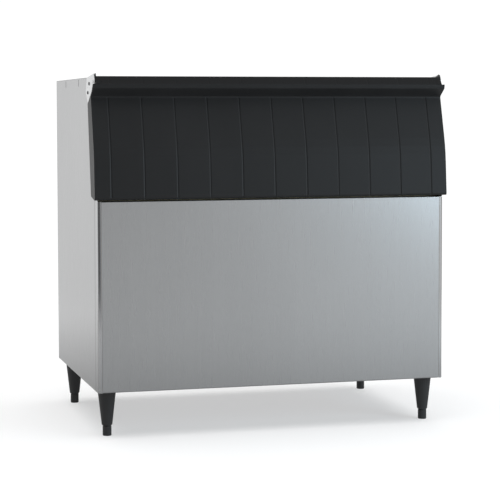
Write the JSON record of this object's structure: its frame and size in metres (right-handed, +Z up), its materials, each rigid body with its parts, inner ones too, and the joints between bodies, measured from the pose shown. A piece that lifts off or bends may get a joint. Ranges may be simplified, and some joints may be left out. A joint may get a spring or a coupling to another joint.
{
  "type": "ice storage bin",
  "caption": "Insulated ice storage bin with a top-hinged, grooved moulded door across its upper front, open on top to take an ice maker, standing on tapered legs.",
  "frame": {"origin": "centre of the bounding box's footprint, on the floor under the feet", "axes": "+Z up, +X to the bin's right as seen from its front, +Y from the door towards the back"},
  "size_m": [1.2, 0.8352, 1.179],
  "materials": {
    "brushed_steel": "brushed, upright grain",
    "bright_steel": "bright, zinc plated",
    "galvanised_steel": "galvanised, dull",
    "black_plastic": "fine moulded texture, satin",
    "grey_plastic": "moulded, matt",
    "liner_plastic": "smooth moulded, food safe",
    "foam": "rigid insulating foam",
    "rubber": "soft seal",
    "dark_screw": "blackened"
  },
  "bodies": {
    "cabinet": {"back_panel": "galvanised_steel", "baffle_screw_left_1": "dark_screw", "baffle_screw_left_2": "dark_screw", "baffle_screw_right_1": "dark_screw", "baffle_screw_right_2": "dark_screw", "bottom_panel": "galvanised_steel", "bracket_screw_left_1": "dark_screw", "bracket_screw_left_2": "dark_screw", "bracket_screw_right_1": "dark_screw", "bracket_screw_right_2": "dark_screw", "cabinet_foam": "foam", "drain_fitting": "grey_plastic", "drain_nut": "grey_plastic", "drain_strainer": "grey_plastic", "front_panel": "brushed_steel", "header_rail": "galvanised_steel", "hinge_bracket_left": "bright_steel", "hinge_bracket_right": "bright_steel", "hinge_pin_left": "bright_steel", "hinge_pin_right": "bright_steel", "ice_baffle": "liner_plastic", "left_side_panel": "brushed_steel", "left_strap_rail": "galvanised_steel", "leg_front_left": "black_plastic", "leg_front_right": "black_plastic", "leg_rear_left": "black_plastic", "leg_rear_right": "black_plastic", "leg_socket_front_left": "galvanised_steel", "leg_socket_front_right": "galvanised_steel", "leg_socket_rear_left": "galvanised_steel", "leg_socket_rear_right": "galvanised_steel", "liner": "liner_plastic", "right_side_panel": "brushed_steel", "right_strap_rail": "galvanised_steel", "top_frame": "brushed_steel", "upper_seat_plate": "liner_plastic"},
    "door": {"door_end_cap_left": "black_plastic", "door_end_cap_right": "black_plastic", "door_foam": "foam", "door_gasket": "rubber", "door_inner_pan": "grey_plastic", "door_shell": "black_plastic"},
    "foot_front_left": {"foot_front_left": "black_plastic"},
    "foot_front_right": {"foot_front_right": "black_plastic"},
    "foot_rear_left": {"foot_rear_left": "black_plastic"},
    "foot_rear_right": {"foot_rear_right": "black_plastic"}
  },
  "joints": [
    {"name": "door_hinge", "type": "hinge", "parent": "cabinet", "child": "door", "pos_m": [0, -0.3574, 1.152], "axis": [-1, 0, 0], "range_deg": [0, 110]},
    {"name": "foot_front_left_screw", "type": "slide", "parent": "cabinet", "child": "foot_front_left", "axis": [0, 0, -1], "range_m": [0, 0.02]},
    {"name": "foot_front_right_screw", "type": "slide", "parent": "cabinet", "child": "foot_front_right", "axis": [0, 0, -1], "range_m": [0, 0.02]},
    {"name": "foot_rear_left_screw", "type": "slide", "parent": "cabinet", "child": "foot_rear_left", "axis": [0, 0, -1], "range_m": [0, 0.02]},
    {"name": "foot_rear_right_screw", "type": "slide", "parent": "cabinet", "child": "foot_rear_right", "axis": [0, 0, -1], "range_m": [0, 0.02]}
  ]
}
